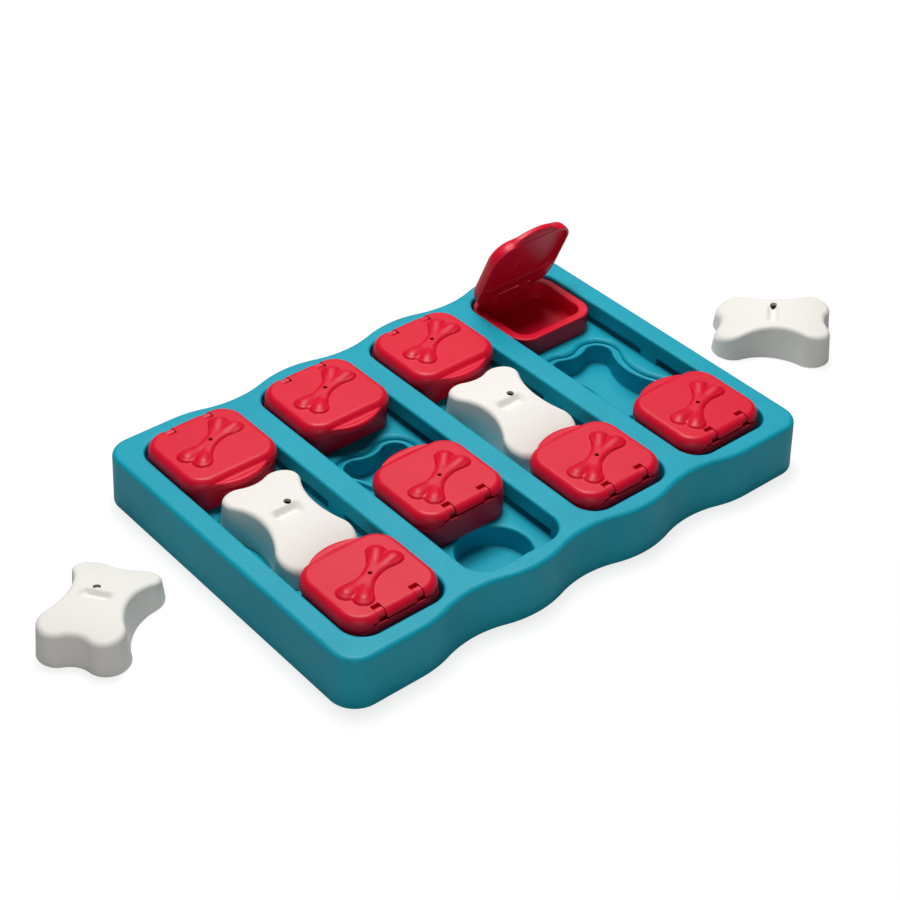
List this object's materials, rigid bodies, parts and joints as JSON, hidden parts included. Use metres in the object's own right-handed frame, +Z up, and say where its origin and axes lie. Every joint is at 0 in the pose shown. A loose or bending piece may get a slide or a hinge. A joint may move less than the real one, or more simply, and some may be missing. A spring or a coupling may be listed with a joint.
{
  "type": "dog puzzle feeder toy",
  "caption": "Treat puzzle board for dogs: flip-lid boxes slide in its channels over hidden wells, and bone shaped covers lift off.",
  "frame": {"origin": "middle of the board's underside, on the surface it lies on", "axes": "+X along the board's long side, +Y from the front to the back, +Z up"},
  "size_m": [0.5467, 0.2268, 0.0895],
  "materials": {
    "board_plastic": "fine moulded texture",
    "box_plastic": "satin",
    "lid_plastic": "satin, soft highlights",
    "bone_plastic": "fine moulded texture"
  },
  "bodies": {
    "board": {"board_bed_1": "board_plastic", "board_bed_2": "board_plastic", "board_bed_3": "board_plastic", "board_bed_4": "board_plastic", "board_rail_1": "board_plastic", "board_rail_2": "board_plastic", "board_rail_3": "board_plastic", "board_rail_4": "board_plastic", "board_rail_5": "board_plastic", "board_end_back": "board_plastic", "board_end_front": "board_plastic"},
    "tray_1_back": {"tray_1_back": "box_plastic"},
    "tray_1_front": {"tray_1_front": "box_plastic"},
    "tray_2_back": {"tray_2_back": "box_plastic"},
    "tray_2_front": {"tray_2_front": "box_plastic"},
    "tray_3_back": {"tray_3_back": "box_plastic"},
    "tray_3_front": {"tray_3_front": "box_plastic"},
    "tray_4_back": {"tray_4_back": "box_plastic"},
    "tray_4_front": {"tray_4_front": "box_plastic"},
    "lid_1_back": {"lid_1_back": "lid_plastic"},
    "lid_1_front": {"lid_1_front": "lid_plastic"},
    "lid_2_back": {"lid_2_back": "lid_plastic"},
    "lid_2_front": {"lid_2_front": "lid_plastic"},
    "lid_3_back": {"lid_3_back": "lid_plastic"},
    "lid_3_front": {"lid_3_front": "lid_plastic"},
    "lid_4_back": {"lid_4_back": "lid_plastic"},
    "lid_4_front": {"lid_4_front": "lid_plastic"},
    "bone_1": {"bone_1": "bone_plastic"},
    "bone_3": {"bone_3": "bone_plastic"},
    "bone_loose_left": {"bone_loose_left": "bone_plastic"},
    "bone_loose_right": {"bone_loose_right": "bone_plastic"}
  },
  "joints": [
    {"name": "box_1_back_slide", "type": "slide", "parent": "board", "child": "tray_1_back", "axis": [0, 1, 0], "range_m": [-0.001, 0.0011]},
    {"name": "box_1_front_slide", "type": "slide", "parent": "board", "child": "tray_1_front", "axis": [0, 1, 0], "range_m": [-0.0028, 0.0057]},
    {"name": "box_2_back_slide", "type": "slide", "parent": "board", "child": "tray_2_back", "axis": [0, 1, 0], "range_m": [-0.0305, 0.0011]},
    {"name": "box_2_front_slide", "type": "slide", "parent": "board", "child": "tray_2_front", "axis": [0, 1, 0], "range_m": [-0.0427, 0]},
    {"name": "box_3_back_slide", "type": "slide", "parent": "board", "child": "tray_3_back", "axis": [0, 1, 0], "range_m": [-0.001, 0.0011]},
    {"name": "box_3_front_slide", "type": "slide", "parent": "board", "child": "tray_3_front", "axis": [0, 1, 0], "range_m": [-0.0028, 0.0057]},
    {"name": "box_4_back_slide", "type": "slide", "parent": "board", "child": "tray_4_back", "axis": [0, 1, 0], "range_m": [-0.0416, 0.0011]},
    {"name": "box_4_front_slide", "type": "slide", "parent": "board", "child": "tray_4_front", "axis": [0, 1, 0], "range_m": [-0.0028, 0.0399]},
    {"name": "lid_1_back_hinge", "type": "hinge", "parent": "tray_1_back", "child": "lid_1_back", "pos_m": [-0.1185, 0.0942, 0.0364], "axis": [-1, 0, 0], "range_deg": [0, 67]},
    {"name": "lid_1_front_hinge", "type": "hinge", "parent": "tray_1_front", "child": "lid_1_front", "pos_m": [-0.1185, -0.0925, 0.0364], "axis": [1, 0, 0], "range_deg": [0, 67]},
    {"name": "lid_2_back_hinge", "type": "hinge", "parent": "tray_2_back", "child": "lid_2_back", "pos_m": [-0.0395, 0.0942, 0.0364], "axis": [-1, 0, 0], "range_deg": [0, 67]},
    {"name": "lid_2_front_hinge", "type": "hinge", "parent": "tray_2_front", "child": "lid_2_front", "pos_m": [-0.0395, -0.0526, 0.0364], "axis": [1, 0, 0], "range_deg": [0, 67]},
    {"name": "lid_3_back_hinge", "type": "hinge", "parent": "tray_3_back", "child": "lid_3_back", "pos_m": [0.0395, 0.0942, 0.0364], "axis": [-1, 0, 0], "range_deg": [0, 67]},
    {"name": "lid_3_front_hinge", "type": "hinge", "parent": "tray_3_front", "child": "lid_3_front", "pos_m": [0.0395, -0.0925, 0.0364], "axis": [1, 0, 0], "range_deg": [0, 67]},
    {"name": "lid_4_back_hinge", "type": "hinge", "parent": "tray_4_back", "child": "lid_4_back", "pos_m": [0.1185, 0.0942, 0.0364], "axis": [-1, 0, 0], "range_deg": [-67, 0]},
    {"name": "lid_4_front_hinge", "type": "hinge", "parent": "tray_4_front", "child": "lid_4_front", "pos_m": [0.1185, -0.0925, 0.0364], "axis": [1, 0, 0], "range_deg": [0, 67]},
    {"name": "bone_1_lift", "type": "slide", "parent": "board", "child": "bone_1", "axis": [0, 0, 1], "range_m": [0, 0.04]},
    {"name": "bone_3_lift", "type": "slide", "parent": "board", "child": "bone_3", "axis": [0, 0, 1], "range_m": [0, 0.04]},
    {"name": "bone_loose_left_lift", "type": "slide", "parent": "board", "child": "bone_loose_left", "axis": [0, 0, 1], "range_m": [0, 0.04]},
    {"name": "bone_loose_right_lift", "type": "slide", "parent": "board", "child": "bone_loose_right", "axis": [0, 0, 1], "range_m": [0, 0.04]}
  ]
}
